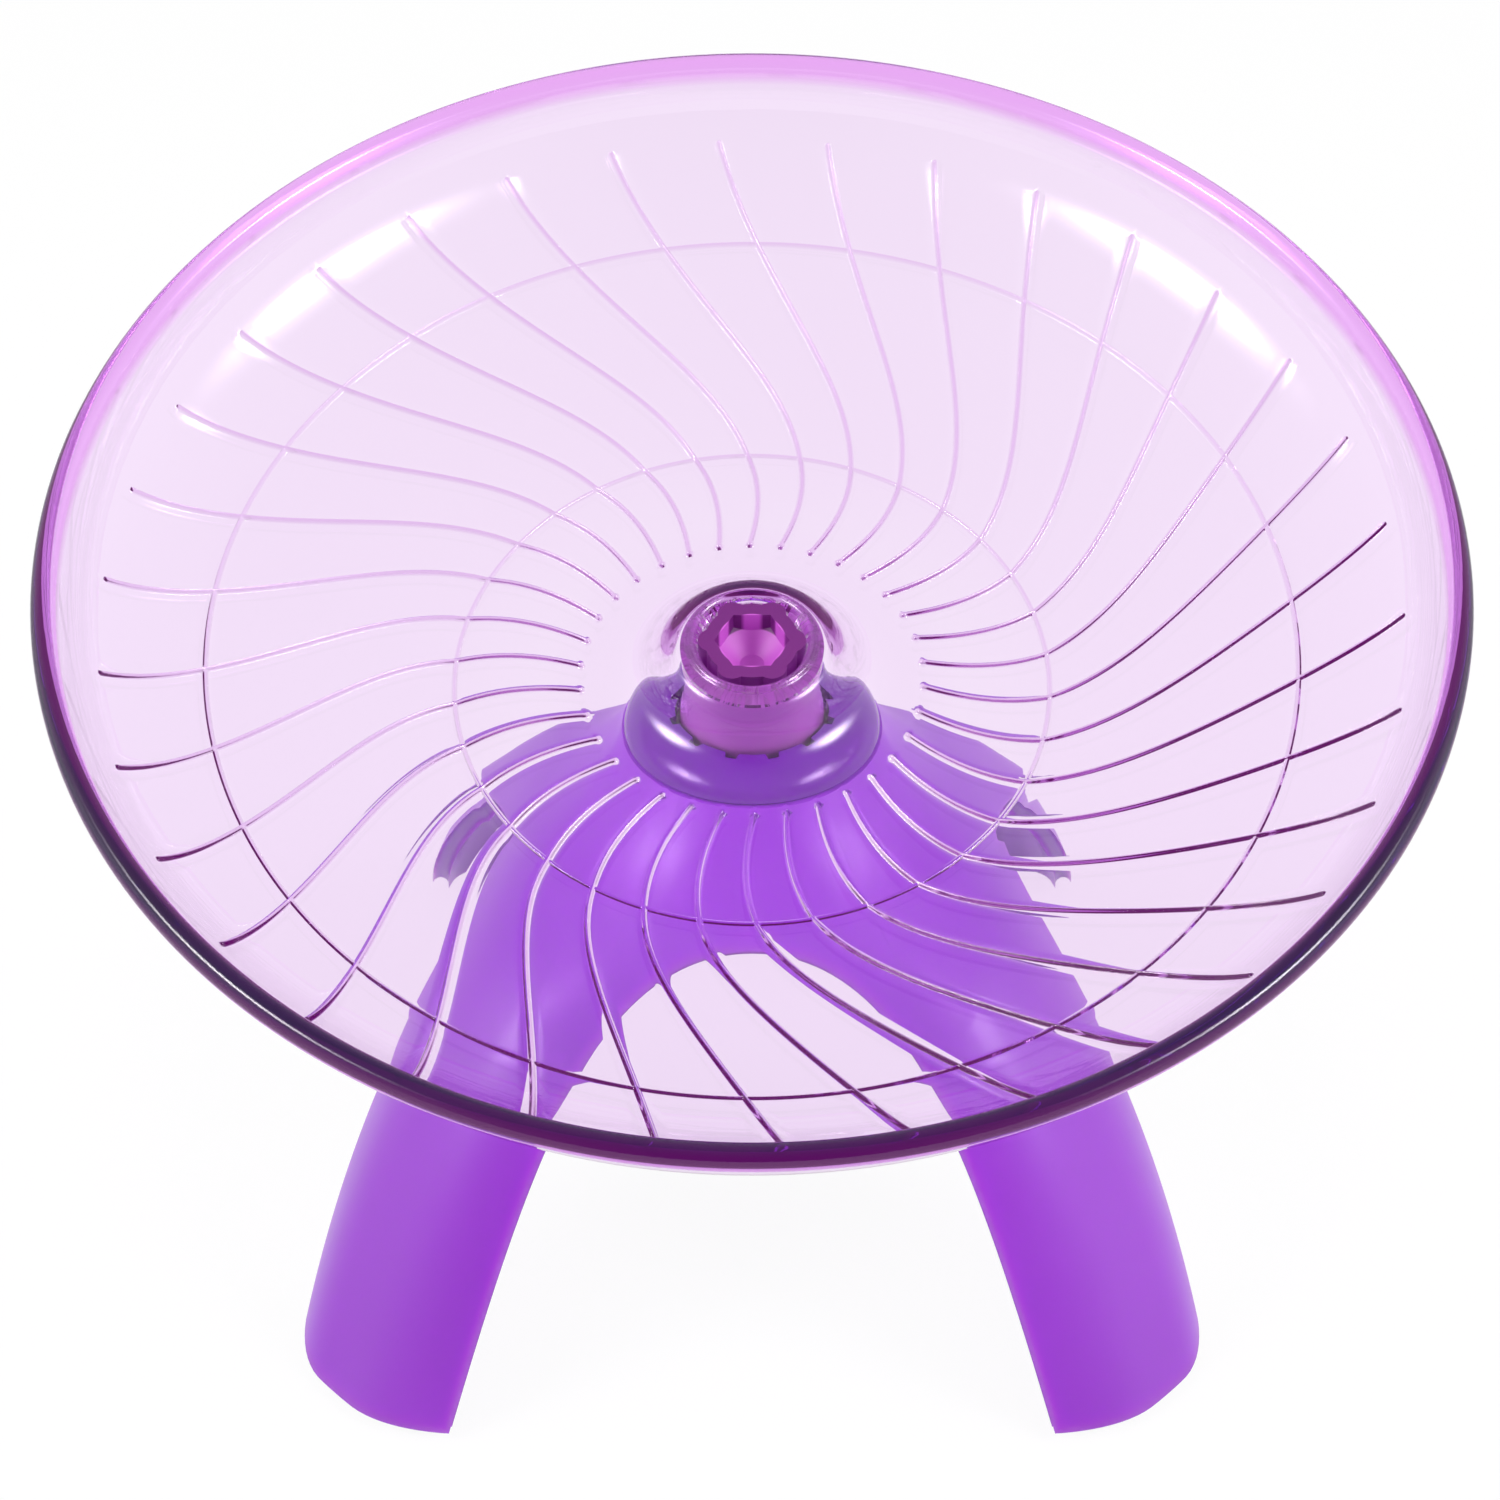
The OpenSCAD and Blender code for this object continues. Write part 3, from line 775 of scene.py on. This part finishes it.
shield_steel = metal("shield_steel", (0.38, 0.39, 0.41), (0.48, 0.49, 0.51), (0.3, 0.42))
ball_steel = metal("ball_steel", (0.70, 0.70, 0.72), (0.78, 0.78, 0.80), (0.05, 0.1))
zinc = metal("zinc_steel", (0.52, 0.53, 0.55), (0.64, 0.65, 0.69), (0.25, 0.4))

# Pieces that stand for solids, and finishes of the solids that stay

dish = make_dish()
put(dish, clear)
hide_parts("dish")
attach(dish, "dish")

sleeve = lathe("dish_sleeve", SLEEVE, segments=128)
put(sleeve, sleeve_plastic)
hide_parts("dish")
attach(sleeve, "dish")

stand = make_stand()
put(stand, stand_plastic)
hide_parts("stand")
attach(stand, "stand")

collar = make_collar()
put(collar, collar_plastic)
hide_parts("collar")
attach(collar, "stand")

FINISHES = {
    "spindle": spindle_plastic,
    "spindle_screw": zinc,
    "spindle_washer": zinc,
    "bearing_inner_race": race_steel,
    "bearing_outer_race": race_steel,
    "bearing_balls": ball_steel,
    "bearing_cage": nylon,
    "bearing_shield_upper": shield_steel,
    "bearing_shield_lower": shield_steel,
}
for name, material in FINISHES.items():
    put(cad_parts[name], material)
    soften(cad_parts[name], CAD_EDGE, segments=2)

# Studio: a white floor that keeps a soft shadow, a softbox on each side in front, and a world that is brighter at its
# sides and rear


def make_floor():
    """A floor that looks white, and keeps a soft shadow."""
    made, nodes = new_material("studio_floor")
    diffuse = nodes.add("ShaderNodeBsdfDiffuse", {"Color": FLOOR_GREY}).outputs["BSDF"]
    share = nodes.calc("MULTIPLY", nodes.ray("Camera", "Glossy", "Transmission"), FLOOR_GLOW)
    nodes.surface(nodes.mix(share, diffuse, nodes.glow(WHITE)))
    corners = [(x * FLOOR_HALF, y * FLOOR_HALF, 0) for x, y in ((-1, -1), (1, -1), (1, 1), (-1, 1))]
    floor = make_object("floor", corners, [(0, 1, 2, 3)])
    put(floor, made)
    floor.location.z = -FLOOR_GAP * MM


def make_softbox(name, side):
    """A lamp behind a cloth, to the left (-1) or right (1): bright in its middle, and fading to its edges."""
    lamp = bpy.data.lights.new(name, "AREA")
    lamp.shape = "RECTANGLE"
    lamp.size, lamp.size_y = SOFTBOX_W * MM, SOFTBOX_H * MM
    lamp.energy = SOFTBOX_WATTS
    nodes = Nodes(lamp, "ShaderNodeOutputLight")
    place = nodes.add("ShaderNodeNewGeometry").outputs["Parametric"]
    across = nodes.vector_calc("SUBTRACT", place, (0.5, 0.5, 0))
    square = nodes.vector_calc("DOT_PRODUCT", across, across)
    fade = nodes.calc("EXPONENT", nodes.calc("MULTIPLY", square, -CLOTH_FADE))
    strength = nodes.calc("MULTIPLY", fade, CLOTH_LEVEL)
    nodes.surface(nodes.glow(WHITE, strength))
    made = bpy.data.objects.new(name, lamp)
    bpy.context.scene.collection.objects.link(made)
    x, y, z = SOFTBOX_AT
    made.location = (side * x * MM, y * MM, z * MM)
    aim = Vector([v * MM for v in SOFTBOX_AIM])
    made.rotation_euler = (made.location - aim).to_track_quat("Z", "Y").to_euler()


def make_world():
    """A world that is white to the camera and through glass, and lights the object unevenly."""
    world = bpy.data.worlds.new("studio")
    bpy.context.scene.world = world
    nodes = Nodes(world, "ShaderNodeOutputWorld")
    way = nodes.add("ShaderNodeSeparateXYZ", {0: nodes.add("ShaderNodeTexCoord").outputs["Generated"]})
    sides = nodes.calc("MULTIPLY_ADD", nodes.calc("POWER", way.outputs["X"], 2), WORLD_SIDES, WORLD_LEVEL)
    level = nodes.calc("MAXIMUM", nodes.calc("MULTIPLY_ADD", way.outputs["Y"], WORLD_REAR, sides), WORLD_LEAST)
    fill = nodes.add("ShaderNodeBackground", {"Color": WHITE, "Strength": level}).outputs["Background"]
    white = nodes.add("ShaderNodeBackground", {"Color": WHITE}).outputs["Background"]
    nodes.surface(nodes.mix(nodes.ray("Camera", "Transmission"), fill, white))


def make_camera():
    """The camera at the photograph's place."""
    camera = bpy.data.objects.new("camera", bpy.data.cameras.new("camera"))
    bpy.context.scene.collection.objects.link(camera)
    camera.data.lens = CAMERA_LENS
    camera.data.sensor_width = CAMERA_SENSOR
    camera.data.shift_x = CAMERA_SHIFT
    camera.data.clip_start = CAMERA_CLIP * MM
    camera.location = [v * MM for v in CAMERA_AT]
    camera.rotation_euler = (math.radians(90 - CAMERA_PITCH), 0, 0)
    bpy.context.scene.camera = camera


make_floor()
make_world()
make_softbox("left_softbox", -1)
make_softbox("right_softbox", 1)
make_camera()
bpy.context.scene.view_settings.view_transform = "Standard"
